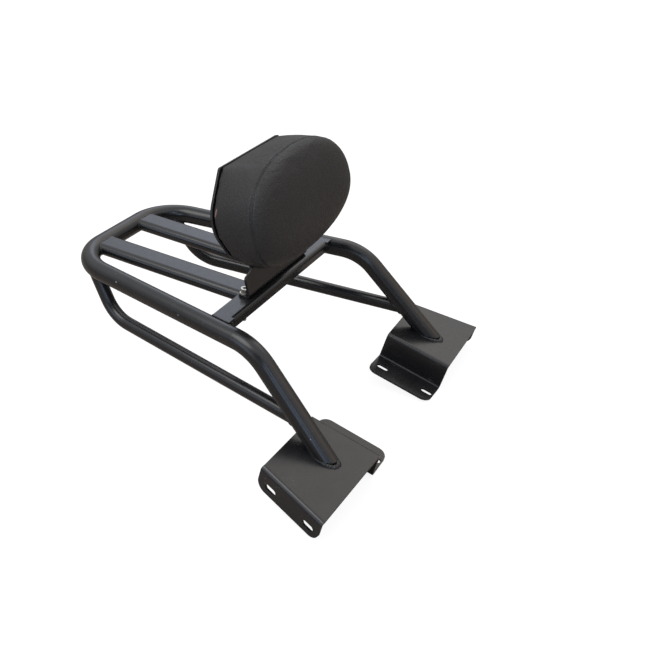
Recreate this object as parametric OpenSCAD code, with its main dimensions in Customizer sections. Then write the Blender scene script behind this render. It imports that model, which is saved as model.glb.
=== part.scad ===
// Motorcycle luggage rack with a backrest pad. A bent tube hoop carries two slats, a folded cross
// plate and two folded mount plates, and a folded sheet bracket with a padded backrest is bolted on.
// X runs across the rack, with +X on the rider's left. +Y runs to the rear and +Z up. The origin is
// midway between the points where the centre lines of the two legs meet the mount plates. The sizes
// are worked out in the hoop's own frame, midway between its front bends, and on_feet() moves each
// piece down to the origin.

/* [Hoop tube] */
// Outside diameter of the hoop tube
tube_d = 25; // [22:0.5:30]
// Wall of the hoop tube
tube_wall = 2; // [1.2:0.1:3]
// Distance from the front bends to the rear run, on the centre lines
rack_len = 301; // [270:1:340]
// Half width between the rails at the rear, on the centre lines
rear_half = 94; // [88:1:104]
// Half width between the rails at the front bends, on the centre lines
front_half = 144; // [138:1:152]
// Bend radius of the rear corners
corner_r = 60; // [52:1:66]
// Bend radius between a rail and its leg
leg_bend_r = 67; // [50:1:80]
// Slope of the legs below the rails, in degrees
leg_slope = 43.2; // [38:0.2:48]
// Splay of the legs seen from above, in degrees
leg_splay = 7.3; // [3:0.1:10]
// Angle between a leg and the cut at its foot, in degrees
leg_cut = 38; // [34:0.5:50]

/* [Braces] */
// Outside diameter of the lower brace tubes
brace_d = 17.5; // [14:0.5:20]
// Wall of the brace tubes
brace_wall = 1.8; // [1:0.1:2.5]
// Bend radius of the braces
brace_r = 52; // [40:1:60]
// Depth of the long run of a brace below the hoop
brace_drop = 62.5; // [50:0.5:70]
// Place of the bend of a brace along the rack
brace_bend_y = 235.5; // [220:0.5:250]
// Inset of the braces from the line of the rails
brace_inset = 4.5; // [0:0.5:8]
// Where a brace leaves the rear corner, in degrees round the bend
brace_angle = 42; // [30:1:55]
// Where a brace meets the leg, measured down the leg
brace_leg_at = 103; // [95:1:110]

/* [Slats] */
// Width of the flat oval slats
slat_w = 37; // [30:1:42]
// Height of the slats
slat_h = 16; // [12:0.5:18]
// Wall of the slats
slat_wall = 1.5; // [1:0.1:2.5]
// Distance of each slat from the middle of the rack
slat_x = 43.5; // [38:0.5:46]
// Height of the middle of the slats above the hoop's centre line
slat_z = 1.5; // [0:0.5:3]

/* [Cross plate] */
// Thickness of the folded cross plate
cross_t = 3; // [2:0.5:4]
// Place of the front face of the cross plate
cross_y = 41.5; // [36:0.5:48]
// Depth of the top of the cross plate, front to rear
cross_depth = 26; // [24:0.5:34]
// Height of its front flange
cross_flange = 14; // [12:0.5:20]
// Half length of the front flange
cross_half = 119; // [112:1:121]
// Inside radius of the fold
cross_ri = 2.5; // [1.5:0.5:3]

/* [Mount plates] */
// Thickness of the mount plates
plate_t = 3; // [2:0.5:4]
// Inside radius of the folds
plate_ri = 2.5; // [1.5:0.5:4]
// Length along the inner fold
plate_len = 95; // [85:1:110]
// Width of the top between its folds, at the rear
plate_w = 110; // [100:1:120]
// How far the outer fold starts behind the inner one
plate_shift = 6; // [0:1:12]
// Angle of the outer fold away from the inner one, in degrees
plate_skew = 15; // [8:1:20]
// Slope of the plates down to the front, in degrees
plate_pitch = 11.7; // [8:0.1:16]
// Fall of the plates to the outside, in degrees
plate_fall = 3.7; // [0:0.1:8]
// Place of the rear end of the inner fold: across, along, up
plate_at = [109, -67.5, -92];
// Turn of the inner wall below the top, in degrees
wall_turn = 90; // [80:1:92]
// Height of the inner wall
wall_w = 37; // [30:0.5:45]
// Turn back of the inner flange, in degrees
flange_turn = 90; // [80:1:92]
// Width of the inner flange
flange_w = 42.5; // [38:0.5:50]
// Turn of the outer flange below the top, in degrees
outer_turn = 90; // [80:1:92]
// Height of the outer flange
outer_w = 33; // [31:0.5:40]
// Radius of the flange corners
flange_r = 13; // [5:0.5:13]

/* [Mounting slots] */
// Width of the slots
slot_w = 8.5; // [6:0.5:10]
// Overall length of the slots
slot_len = 17; // [14:0.5:19]
// Distance of the inner flange's slots from its fold
inner_slot = 23; // [18:0.5:26]
// Distance of the outer flange's slots from its fold
outer_slot = 21.5; // [17:0.5:23]
// Distance between the two slots of the inner flange
inner_pitch = 69; // [60:1:70]
// Distance between the two slots of the outer flange
outer_pitch = 61; // [55:1:66]

/* [Backrest bracket] */
// Thickness of the bracket sheet
bracket_t = 3; // [2:0.5:4]
// Inside radius of the bracket's fold
bracket_ri = 2.5; // [2:0.5:4]
// Lean of the backrest to the rear, in degrees
lean = 18; // [10:1:25]
// Place of the foot of the upright, before rounding
bracket_y = 47; // [46:0.5:49]
// Half width of the bracket at the fold
base_half = 73; // [70:1:78]
// Half width and height of its shoulders
shoulder = [72, 29];
// Half width and height of the neck
neck = [50, 34];
// Half width and height of the lower corners of the back
low_corner = [90, 66];
// Half width and height of the side corners of the back, before rounding
side_corner = [114.5, 113];
// Half width and height of the top corners
top_corner = [67, 167];
// Rounding of the side corners
side_r = 40; // [25:1:45]
// Distance between the foot bolts
foot_pitch = 134; // [128:1:136]
// Distance of the foot bolts behind the foot of the upright
foot_bolt_y = 12.5; // [12:0.5:14]
// Rounding of the rear corners of the foot
foot_r = 7; // [4:0.5:9]

/* [Backrest pad] */
// Gap between the edge of the cover and the bracket
pad_gap = 1.5; // [1:0.1:3]
// Inset of the pad from the edge of the bracket's back
pad_inset = 2; // [1:0.5:5]
// Height of the lowest point of the pad on the bracket
pad_low = 33; // [30:1:45]
// Thickness of the base board
board_t = 10; // [8:0.5:14]
// Thickness of the vinyl cover
cover_t = 1.2; // [0.8:0.1:2]
// Half width of the oval front seam
seam_half = 119; // [100:1:121]
// Half height of the oval front seam
seam_high = 72; // [70:1:78]
// Height of the middle of the front seam
seam_mid = 101; // [96:1:106]
// Depth of the pad at the middle of the front seam
pad_depth = 63; // [45:1:65]
// How far the seam falls back to the bracket at its lower end
pad_drop = 27; // [0:1:30]
// Bulge of the front panel beyond its seam
pad_bulge = 9; // [5:1:12]
// Squareness of the oval, from 2 for an ellipse upwards
oval_power = 2.2; // [2:0.1:3]

/* [Fasteners] */
// Thread diameter
bolt_d = 6; // [5:1:6]
// Length of the foot bolts
foot_bolt_len = 40; // [35:1:45]
// Diameter of a socket head
head_d = 10; // [9:0.5:10]
// Height of a socket head
head_h = 6; // [5:0.5:6]
// Width across the flats of the hexagon socket
socket_af = 5; // [4:0.5:5]
// Diameter of the washers
washer_d = 12; // [11:0.5:12]
// Thickness of the washers
washer_t = 1.6; // [1.2:0.2:2]
// Width across the flats of the nuts
nut_af = 10; // [9:0.5:10]
// Height of the nuts
nut_h = 6; // [5:0.5:7]
// Clearance of a hole round its bolt
hole_clear = 0.5; // [0.3:0.1:1]
// Half distance across between the pad bolts
pad_bolt_x = 42; // [30:1:50]
// Heights of the lower and upper pad bolts
pad_bolt_v = [66, 134];
// Length of the pad bolts
pad_bolt_len = 12; // [11:0.5:13]

/* [Hidden] */
$fn = 64;
black = [0.09, 0.09, 0.10];
steel = [0.75, 0.74, 0.70];
big = 400;
nick = 0.01;
// Height and half width of the thin beads that bridge two lengths of one bar or sheet
seam = 0.05;

function unit(v) = v / norm(v);
// Columns of a frame at p, with x, y and z axes given
function frame(p, ex, ey, ez) = [[ex.x, ey.x, ez.x, p.x], [ex.y, ey.y, ez.y, p.y], [ex.z, ey.z, ez.z, p.z],
    [0, 0, 0, 1]];
function any_normal(d) = unit(cross(d, abs(d.z) < 0.9 ? [0, 0, 1] : [1, 0, 0]));
// Distance from a corner to where its bend starts
function set_back(a, b, c, r) = r * tan(acos(unit(b - a) * unit(c - b)) / 2);
// Points of a polygon's corner p rounded by r, between its neighbours a and b
function corner_points(a, p, b, r, n) =
    let (u = unit(a - p), v = unit(b - p), inner = acos(u * v), start = p + u * r / tan(inner / 2),
        c = p + unit(u + v) * r / sin(inner / 2), s = u.x * v.y - u.y * v.x > 0 ? -1 : 1, w = start - c)
    [for (k = [0:n]) let (q = s * (180 - inner) * k / n)
        c + [w.x * cos(q) - w.y * sin(q), w.x * sin(q) + w.y * cos(q)]];
function rounded(pts, radii, n = 8) = let (m = len(pts))
    [for (i = [0:m - 1]) each corner_points(pts[(i + m - 1) % m], pts[i], pts[(i + 1) % m], radii[i], n)];
function both_sides(half) = concat(half, [for (i = [len(half) - 1:-1:0]) [-half[i].x, half[i].y]]);

// Rails, legs and mount plates
rail_dir = unit([rear_half - front_half, rack_len, 0]);
function rail_x(y) = front_half + (rear_half - front_half) * y / rack_len;
leg_dir = [sin(leg_splay) * cos(leg_slope), -cos(leg_splay) * cos(leg_slope), -sin(leg_slope)];
leg_top = [front_half, 0, 0];
plate_up = [sin(plate_fall), -sin(plate_pitch) * cos(plate_fall), cos(plate_pitch) * cos(plate_fall)];
leg_len = ((plate_at - leg_top) * plate_up) / (leg_dir * plate_up);
foot_at = leg_top + leg_dir * leg_len;
// The cut at the foot of a leg turns about the point where the underside of the leg meets the plate
leg_over = unit(plate_up - leg_dir * (plate_up * leg_dir));
cut_at = foot_at - (leg_over - leg_dir * (leg_over * plate_up) / (leg_dir * plate_up)) * tube_d / 2;
cut_up = leg_over * cos(leg_cut) - leg_dir * sin(leg_cut);
leg_end = foot_at + leg_dir * tube_d;
corner_turn = acos(-rail_dir.x);
// Degrees of the corner's bend that other pieces are coped to, a little past its end
corner_reach = 100;
corner_at = [rear_half - corner_r * tan(corner_turn / 2), rack_len - corner_r, 0];

// Braces
brace_top = corner_at + corner_r * [cos(brace_angle), sin(brace_angle), 0];
brace_low = [rail_x(brace_bend_y) - brace_inset, brace_bend_y, -brace_drop];
brace_end = leg_top + leg_dir * brace_leg_at;

// Cross plate, slats and bracket
cross_top = slat_z + slat_h / 2 + cross_t;
cross_ro = cross_ri + cross_t;
// How far the plate's top stops short of the middle of the rails
cross_end = 6;
slat_gap = 0.5;
slat_front = cross_y + cross_ro + slat_gap;
bracket_ro = bracket_ri + bracket_t;
bracket_turn = 90 + lean;
bracket_back = bracket_ro * tan(bracket_turn / 2);
foot_rear = cross_y + cross_depth;
foot_bolt_at = [foot_pitch / 2, bracket_y + foot_bolt_y, 0];
foot_top = cross_top + bracket_t;
back_half = [[base_half, bracket_back], shoulder, neck, low_corner, side_corner, top_corner];
back_radii = [0.1, 5, 4, 14, side_r, 6];
pad_half = [[neck.x - pad_inset, pad_low], [low_corner.x - pad_inset, low_corner.y],
    [side_corner.x - pad_inset, side_corner.y], [top_corner.x - pad_inset / 2, top_corner.y - pad_inset]];
pad_radii = [8, 14, side_r, 7];
board_inset = cover_t + 0.2;
board_edge = board_inset + 1;
plate_ro = plate_ri + plate_t;
hole_d = bolt_d + hole_clear;
tee_barrel_d = 8;
tee_flange_d = 17;
tee_flange_t = 1.5;

// A round bar or tube bore along a path of corners, each corner bent to its radius
module bent_bar(pts, radii, d) {
    last = len(pts) - 1;
    back = [for (i = [0:last]) i == 0 || i == last ? 0 : set_back(pts[i - 1], pts[i], pts[i + 1], radii[i - 1])];
    for (i = [0:last - 1]) {
        dir = unit(pts[i + 1] - pts[i]);
        side = any_normal(dir);
        multmatrix(frame(pts[i] + dir * back[i], side, cross(dir, side), dir))
            cylinder(h = norm(pts[i + 1] - pts[i]) - back[i] - back[i + 1], d = d);
    }
    for (i = [1:last - 1]) {
        before = unit(pts[i] - pts[i - 1]);
        after = unit(pts[i + 1] - pts[i]);
        out = unit(before - after);
        turn = acos(before * after);
        axis = unit(cross(before, after));
        start = pts[i] - before * back[i];
        to_start = cross(before, axis);
        multmatrix(frame(start - to_start * radii[i - 1], to_start, before, axis))
        {
            rotate_extrude(angle = turn) translate([radii[i - 1], 0]) circle(d = d);
            for (a = [0, turn]) rotate([0, 0, a]) translate([radii[i - 1], 0, 0]) rotate([90, 0, 0])
                cylinder(h = 2 * seam, d = d + 2 * seam, center = true);
        }
    }
}

// Moves a piece from the hoop's frame to the feet of the legs
module on_feet() translate([0, -foot_at.y, -foot_at.z]) children();

module mirrored() {
    children();
    mirror([1, 0, 0]) children();
}

// Solid stretches of the hoop that the welded pieces are coped to, on the left side
module rail_bar() multmatrix(frame(leg_top, cross(rail_dir, [0, 0, 1]), [0, 0, 1], rail_dir))
    translate([0, 0, -leg_bend_r]) cylinder(h = rack_len + leg_bend_r, d = tube_d);
module leg_bar() let (side = any_normal(leg_dir)) multmatrix(frame(leg_top, side, cross(leg_dir, side), leg_dir))
    cylinder(h = leg_len, d = tube_d);
module corner_bar() translate(corner_at) rotate_extrude(angle = corner_reach) translate([corner_r, 0]) circle(d = tube_d);
module rear_bar() translate([-rear_half, rack_len, 0]) rotate([0, 90, 0]) cylinder(h = 2 * rear_half, d = tube_d);

module at_plate() translate(plate_at) rotate([plate_pitch, 0, 0]) rotate([0, plate_fall, 0]) children();

module hoop_path(d, over) {
    tip = leg_end + leg_dir * over;
    bent_bar([[tip.x, tip.y, tip.z], leg_top, [rear_half, rack_len, 0], [-rear_half, rack_len, 0],
        [-leg_top.x, 0, 0], [-tip.x, tip.y, tip.z]], [leg_bend_r, corner_r, corner_r, leg_bend_r], d);
}

module hoop_tube() color(black) on_feet() difference() {
    hoop_path(tube_d, 0);
    hoop_path(tube_d - 2 * tube_wall, 1);
    mirrored() multmatrix(frame(cut_at, any_normal(cut_up), cross(cut_up, any_normal(cut_up)), cut_up))
        translate([-big / 2, -big / 2, -big]) cube(big);
}

// One brace, on the side s of 1 for left or -1 for right
module brace_tube(s) color(black) on_feet() difference() {
    route = [for (p = [brace_top, brace_low, brace_end]) [s * p.x, p.y, p.z]];
    bent_bar(route, [brace_r], brace_d);
    bent_bar([route[0] + unit(route[0] - route[1]), route[1], route[2] + unit(route[2] - route[1])],
        [brace_r], brace_d - 2 * brace_wall);
    mirrored() corner_bar();
    mirrored() leg_bar();
}

module oval(w, h) {
    square([w - h, h], center = true);
    for (s = [-1, 1]) translate([s * (w - h) / 2, 0]) circle(d = h);
}

module slat() color(black) on_feet() difference() {
    translate([slat_x, rack_len, slat_z]) rotate([90, 0, 0]) linear_extrude(rack_len - slat_front) difference() {
        oval(slat_w, slat_h);
        oval(slat_w - 2 * slat_wall, slat_h - 2 * slat_wall);
    }
    rear_bar();
    corner_bar();
}

module cross_plate() color(black) on_feet() difference() {
    union() {
        translate([0, 0, cross_top - cross_t]) linear_extrude(cross_t) polygon(both_sides([
            [cross_half, cross_y + cross_ro], [cross_half, cross_y], [rail_x(cross_y) - cross_end, cross_y],
            [rail_x(foot_rear) - cross_end, foot_rear]]));
        translate([-cross_half, cross_y + cross_ro, cross_top - cross_ro]) rotate([0, 90, 0]) rotate([0, 0, 180])
            rotate_extrude(angle = 90) translate([cross_ri, 0]) square([cross_t, 2 * cross_half]);
        translate([-cross_half, cross_y, cross_top - cross_flange])
            cube([2 * cross_half, cross_t, cross_flange - cross_ro]);
    }
    mirrored() rail_bar();
    mirrored() translate([foot_bolt_at.x, foot_bolt_at.y, 0]) cylinder(h = foot_top, d = hole_d);
}

// Bridges two lengths of a sheet of thickness t along -Y, whose top faces meet at z = 0
module sheet_seam(t, length) translate([-seam, seam - length, -t - seam])
    cube([2 * seam, length - 2 * seam, t + 2 * seam]);

// A downward fold along -Y, from a sheet whose top face is at z = 0, with what follows it
module fold_down(turn, length) {
    sheet_seam(plate_t, length);
    translate([0, 0, -plate_ro]) rotate([0, -90, 0]) rotate([90, 0, 0])
        rotate_extrude(angle = turn) translate([plate_ri, 0]) square([plate_t, length]);
    translate([0, 0, -plate_ro]) rotate([0, -turn, 0]) translate([0, 0, plate_ro]) {
        sheet_seam(plate_t, length);
        children();
    }
}

module fold_up(turn, length) translate([0, 0, -plate_t]) mirror([0, 0, 1]) fold_down(turn, length)
    translate([0, 0, -plate_t]) mirror([0, 0, 1]) children();

// A flange running to -X from its fold, with two rounded corners and two slots
module slotted_flange(width, length, line, pitch, mid) translate([0, 0, -plate_t]) linear_extrude(plate_t)
difference() {
    union() {
        translate([flange_r - width, -length]) square([width - flange_r, length]);
        translate([-width, flange_r - length]) square([width, length - 2 * flange_r]);
        for (y = [-flange_r, flange_r - length]) translate([flange_r - width, y]) circle(r = flange_r);
    }
    for (y = [mid - pitch / 2, mid + pitch / 2]) translate([-line, -y]) {
        square([slot_w, slot_len - slot_w], center = true);
        for (s = [-1, 1]) translate([0, s * (slot_len - slot_w) / 2]) circle(d = slot_w);
    }
}

fold_back = plate_ro * tan(wall_turn / 2);
up_back = plate_ri * tan(flange_turn / 2);
outer_back = plate_ro * tan(outer_turn / 2);
outer_dir = [sin(plate_skew), -cos(plate_skew)];
outer_in = [-cos(plate_skew), -sin(plate_skew)];
outer_len = plate_len / cos(plate_skew);
outer_at = [plate_w, plate_shift];
// Middle of each pair of slots, as a share of its flange's length
inner_mid = 0.53;
outer_mid = 0.52;

module mount_plate() color(black) on_feet() at_plate() {
    rear_out = outer_at + outer_in * outer_back;
    translate([0, 0, -plate_t]) linear_extrude(plate_t) polygon([[fold_back, 0], [fold_back, -plate_len],
        rear_out + outer_dir * outer_len, rear_out]);
    translate([fold_back, 0, 0]) fold_down(wall_turn, plate_len) {
        wall = wall_w - fold_back - up_back;
        translate([-wall, -plate_len, -plate_t]) cube([wall, plate_len, plate_t]);
        translate([-wall, 0, 0]) fold_up(flange_turn, plate_len)
            slotted_flange(flange_w - up_back, plate_len, inner_slot - up_back, inner_pitch, plate_len * inner_mid);
    }
    translate([rear_out.x, rear_out.y, 0]) rotate([0, 0, plate_skew]) mirror([1, 0, 0])
        fold_down(outer_turn, outer_len)
            slotted_flange(outer_w - outer_back, outer_len, outer_slot - outer_back, outer_pitch,
                outer_len * outer_mid);
}

// Places its children in the frame of the bracket's upright, whose front face is at z = 0 and whose
// Y axis runs up the bracket from the foot
module at_upright() translate([0, bracket_y, cross_top]) rotate([90 - lean, 0, 0]) children();

module pad_bolt_places() for (x = [-pad_bolt_x, pad_bolt_x], v = pad_bolt_v) translate([x, v, 0]) children();

module backrest_bracket() color(black) on_feet() difference() {
    union() {
        at_upright() translate([0, 0, -bracket_t]) linear_extrude(bracket_t)
            polygon(rounded(both_sides(back_half), concat(back_radii, [for (i = [5:-1:0]) back_radii[i]])));
        translate([-base_half, bracket_y + bracket_back, cross_top + bracket_ro]) rotate([0, 90, 0])
            rotate_extrude(angle = -bracket_turn) translate([bracket_ri, 0]) square([bracket_t, 2 * base_half]);
        at_upright() translate([-base_half, bracket_back, 0]) rotate([0, 0, -90])
            sheet_seam(bracket_t, -2 * base_half);
        translate([0, 0, cross_top]) linear_extrude(bracket_t) {
            foot_y = bracket_y + bracket_back;
            translate([-base_half, foot_y]) square([2 * base_half, foot_rear - foot_r - foot_y]);
            translate([foot_r - base_half, foot_y]) square([2 * (base_half - foot_r), foot_rear - foot_y]);
            for (s = [-1, 1]) translate([s * (base_half - foot_r), foot_rear - foot_r]) circle(r = foot_r);
        }
    }
    at_upright() pad_bolt_places() translate([0, 0, -2 * bracket_t]) cylinder(h = 3 * bracket_t, d = hole_d);
    mirrored() translate([foot_bolt_at.x, foot_bolt_at.y, 0]) cylinder(h = foot_top + 1, d = hole_d);
}

module hexagon(af, h) cylinder(h = h, d = af / cos(30), $fn = 6);

// A socket screw hanging from z = 0, with its head above
module socket_bolt(length) difference() {
    union() {
        translate([0, 0, -length]) cylinder(h = length + nick, d = bolt_d);
        cylinder(h = head_h, d = head_d);
    }
    translate([0, 0, head_h / 2]) hexagon(socket_af, head_h);
}

module ring(d, bore, h) difference() {
    cylinder(h = h, d = d);
    translate([0, 0, -1]) cylinder(h = h + 2, d = bore);
}

module foot_bolts() color(steel) on_feet() mirrored() translate(foot_bolt_at + [0, 0, foot_top + washer_t])
    socket_bolt(foot_bolt_len);

module foot_washers() color(steel) on_feet() mirrored() translate(foot_bolt_at) {
    translate([0, 0, foot_top]) ring(washer_d, hole_d, washer_t);
    translate([0, 0, cross_top - cross_t - washer_t]) ring(washer_d, hole_d, washer_t);
}

module foot_nuts() color(steel) on_feet() mirrored() translate(foot_bolt_at)
    translate([0, 0, cross_top - cross_t - washer_t - nut_h]) difference() {
        hexagon(nut_af, nut_h);
        translate([0, 0, -1]) cylinder(h = nut_h + 2, d = bolt_d);
    }

// Outline of the pad's back, shrunk by e
module pad_outline(e) {
    half = [for (p = pad_half) [p.x - e, p.y + (p.y > seam_mid ? -e : e)]];
    polygon(rounded(both_sides(half), concat(pad_radii, [for (i = [3:-1:0]) pad_radii[i]]), 6));
}

function oval_point(a, hw, hh) = let (c = cos(a), s = sin(a))
    [sign(c) * hw * pow(abs(c), 2 / oval_power), sign(s) * hh * pow(abs(s), 2 / oval_power)];

// Points of the pad's front on an oval smaller by the factor k than its seam, raised by d over it
function front_ring(e, d, k) = [for (a = [0:9:351]) let (p = oval_point(a, seam_half - e, seam_high - e) * k)
    [p.x, seam_mid + p.y, pad_depth - e + d - pad_drop * pow(max(0, -p.y) / seam_high, 2)]];

// Steps of the bulging front: share of the seam's size, and share of the bulge
bulge_steps = [[1, 0], [0.95, 0.6], [0.75, 1]];

// The pad without its board, shrunk by e all round, from the height back upwards
module pad_body(e, back) {
    front = [for (step = bulge_steps) each front_ring(e, pad_bulge * step[1], step[0])];
    hull() {
        translate([0, 0, back]) linear_extrude(nick) pad_outline(e);
        polyhedron(points = front, faces = [[for (i = [0:len(front) - 1]) i]]);
    }
}

module board_shape(e) linear_extrude(board_t - e) pad_outline(board_edge);

module pad_board() color("burlywood") on_feet() at_upright() difference() {
    board_shape(0);
    pad_bolt_places() translate([0, 0, -1]) cylinder(h = board_t, d = tee_barrel_d);
    pad_bolt_places() translate([0, 0, board_t - tee_flange_t]) cylinder(h = board_t, d = tee_flange_d);
}

module pad_foam() color("khaki") on_feet() at_upright() difference() {
    pad_body(board_inset, pad_gap + cover_t);
    translate([0, 0, -1]) linear_extrude(board_t + 1) pad_outline(board_edge);
}

module pad_cover() color(black) on_feet() at_upright() difference() {
    pad_body(0, pad_gap);
    pad_body(cover_t, pad_gap - 1);
}

module pad_bolts() color(steel) on_feet() at_upright() pad_bolt_places() translate([0, 0, -bracket_t - washer_t])
    mirror([0, 0, 1]) socket_bolt(pad_bolt_len);

module pad_washers() color(steel) on_feet() at_upright() pad_bolt_places() translate([0, 0, -bracket_t - washer_t])
    ring(washer_d, hole_d, washer_t);

module pad_tee_nuts() color(steel) on_feet() at_upright() pad_bolt_places() difference() {
    union() {
        cylinder(h = board_t, d = tee_barrel_d);
        translate([0, 0, board_t - tee_flange_t]) cylinder(h = tee_flange_t, d = tee_flange_d);
    }
    translate([0, 0, -1]) cylinder(h = board_t + 2, d = bolt_d);
}

hoop_tube();
brace_tube(1);  // brace_tube_left
brace_tube(-1);  // brace_tube_right
slat();  // slat_left
mirror([1, 0, 0]) slat();  // slat_right
cross_plate();
mount_plate();  // mount_plate_left
mirror([1, 0, 0]) mount_plate();  // mount_plate_right
backrest_bracket();
foot_bolts();
foot_washers();
foot_nuts();
pad_board();
pad_foam();
pad_cover();
pad_bolts();
pad_washers();
pad_tee_nuts();
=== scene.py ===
import math

import bpy
import numpy as np
from bpy.props import FloatProperty, FloatVectorProperty, IntProperty, PointerProperty
from mathutils import Matrix, Vector
from mathutils.bvhtree import BVHTree
from mathutils.kdtree import KDTree


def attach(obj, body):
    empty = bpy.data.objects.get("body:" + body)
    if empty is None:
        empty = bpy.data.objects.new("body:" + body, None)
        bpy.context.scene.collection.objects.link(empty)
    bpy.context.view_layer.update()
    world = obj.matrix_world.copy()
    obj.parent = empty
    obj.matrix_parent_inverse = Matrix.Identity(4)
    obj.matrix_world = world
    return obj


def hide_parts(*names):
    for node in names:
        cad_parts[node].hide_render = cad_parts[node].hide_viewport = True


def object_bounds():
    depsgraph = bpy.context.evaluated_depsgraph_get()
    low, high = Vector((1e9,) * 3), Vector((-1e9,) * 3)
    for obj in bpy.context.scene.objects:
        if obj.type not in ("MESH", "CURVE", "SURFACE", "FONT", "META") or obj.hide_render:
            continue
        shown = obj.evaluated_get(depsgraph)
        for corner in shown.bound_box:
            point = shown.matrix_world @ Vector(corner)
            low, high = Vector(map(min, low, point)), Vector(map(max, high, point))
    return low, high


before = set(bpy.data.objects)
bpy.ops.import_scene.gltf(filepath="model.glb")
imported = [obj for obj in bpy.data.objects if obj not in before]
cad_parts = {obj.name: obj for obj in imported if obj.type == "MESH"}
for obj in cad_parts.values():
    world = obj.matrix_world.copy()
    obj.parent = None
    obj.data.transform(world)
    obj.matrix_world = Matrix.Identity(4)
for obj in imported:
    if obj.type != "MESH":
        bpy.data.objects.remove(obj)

bl_info = {
    "name": "Motorcycle luggage rack",
    "version": (1, 0, 0),
    "blender": (4, 5, 0),
    "location": "View3D > Sidebar > Rack",
    "description": "Finishes a packed motorcycle luggage rack: paint, welds, vinyl backrest, fasteners and stage",
    "category": "Object",
}

CAD_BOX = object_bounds()
MM = 0.001

# Places from the rack's source, in millimetres from the middle between the front bends of the hoop
FEET = Vector((0, 109.866, 104.014))
TUBE_R = 12.5
RACK_LEN, REAR_HALF, FRONT_HALF = 301.0, 94.0, 144.0
CORNER_R, CORNER_X = 60.0, 43.1
LEG_TOP = Vector((144, 0, 0))
LEG_DIR = Vector((0.092626, -0.723062, -0.684547))
PLATE_UP = Vector((0.064532, -0.202365, 0.977182))
LEG_CUT = math.radians(38)
LEG_LEN = 151.946
BRACE_R = 8.75
BRACE_TURN = math.radians(42)
BRACE_TOP = Vector((CORNER_X + CORNER_R * math.cos(BRACE_TURN),
                    RACK_LEN - CORNER_R + CORNER_R * math.sin(BRACE_TURN), 0))
BRACE_LOW = Vector((100.38, 235.5, -62.5))
BRACE_END = LEG_TOP + LEG_DIR * 103
SLAT_X, SLAT_Z, SLAT_W, SLAT_H = 43.5, 1.5, 37.0, 16.0
CROSS_Y, CROSS_DEPTH, CROSS_TOP = 41.5, 26.0, 12.5
FLANGE_END, SLAT_WELD_HALF = 121.7, 11.0
COPE_WELD_OUT, COPE_WELD_SIZE, SLAT_WELD_OUT, SLAT_WELD_SIZE = 0.2, 0.8, 0.1, 0.5
LEAN = math.radians(18)
BRACKET_Y = 47.0
FOOT_BOLT = Vector((67, 59.5, 0))
SHEET_T, WASHER_T, BOLT_LEN, NUT_H = 3.0, 1.6, 40.0, 6.0
THREAD_IN, THREAD_R, THREAD_RIDGE = 0.6, 0.0029, 0.00034
PAD_GAP, PAD_MID, PAD_DEPTH, PAD_DROP, PAD_BULGE = 0.3, 101.0, 59.0, 25.0, 18.0
SEAM_HALF, SEAM_HIGH, OVAL_POWER = 119.0, 72.0, 2.2
GROOVE_REACH, GROOVE_WIDTH, ROLL_AT, ROLL_WIDTH, ROLL_SHARE = 0.012, 0.0014, 0.0036, 0.0018, 0.2
PAD_HELD, SWELL_FRAMES = 0.004, 20
PAD_FLARE, PAD_LIP, PAD_BOW = 1.9, 0.6, 1.6
PAD_HALF = [(48, 33, 8), (88, 66, 14), (112.5, 113, 40), (66, 165, 7)]

PAINTED = ("hoop_tube", "brace_tube_left", "brace_tube_right", "slat_left", "slat_right", "cross_plate",
           "mount_plate_left", "mount_plate_right", "backrest_bracket")
PLATED = ("foot_bolts", "foot_washers", "foot_nuts", "pad_bolts", "pad_washers", "pad_tee_nuts")

# Camera of the photograph, the one lamp and the floor, in metres
CAMERA_AT = (-0.958775, -0.360971, 0.729475)
CAMERA_RIGHT = (0.46393061, -0.88287046, 0.07285693)
CAMERA_UP = (0.4419231, 0.30192986, 0.84471435)
CAMERA_BACK = (-0.76777103, -0.35969169, 0.53023536)
CAMERA_LENS = 53.88
LAMP_AT, LAMP_AIM = (-1.1, 0.9, 2.2), (0, 0.2, 0.1)
LAMP_WIDTH, LAMP_WATTS, LAMP_COLOUR = 1.6, 22, (1.0, 0.99, 0.97)
FLOOR_BELOW, FLOOR_REACH = 0.0005, 14.0
FLOOR_GLOW, FLOOR_GLOW_SHARE, FLOOR_IN_GLOSS = 1.12, 0.80, (0.30, 0.255, 0.22)

# What the gloss shows of the room: the way to it, its inner and outer half angles in degrees, and its light
ROOM_LOW, ROOM_HIGH = (0.30, 0.28, 0.26), (1.18, 1.20, 1.25)
ROOM = [
    ((-0.77, -0.36, 0.53), 12, 34, (0.10, 0.095, 0.09)),
    ((-0.90, -0.33, 0.30), 4, 12, (2.0, 2.5, 3.4)),
    ((-0.66, -0.50, 0.56), 3, 10, (2.4, 3.0, 4.0)),
    ((-0.83, 0.44, 0.27), 6, 18, (1.6, 1.9, 2.4)),
    ((0.44, -0.72, 0.53), 5, 16, (1.7, 1.22, 0.86)),
    ((0.757, 0.402, 0.515), 5, 17, (1.80, 1.95, 2.30)),
    ((0.66, 0.03, 0.75), 12, 28, (1.95, 1.88, 1.78)),
]

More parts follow.
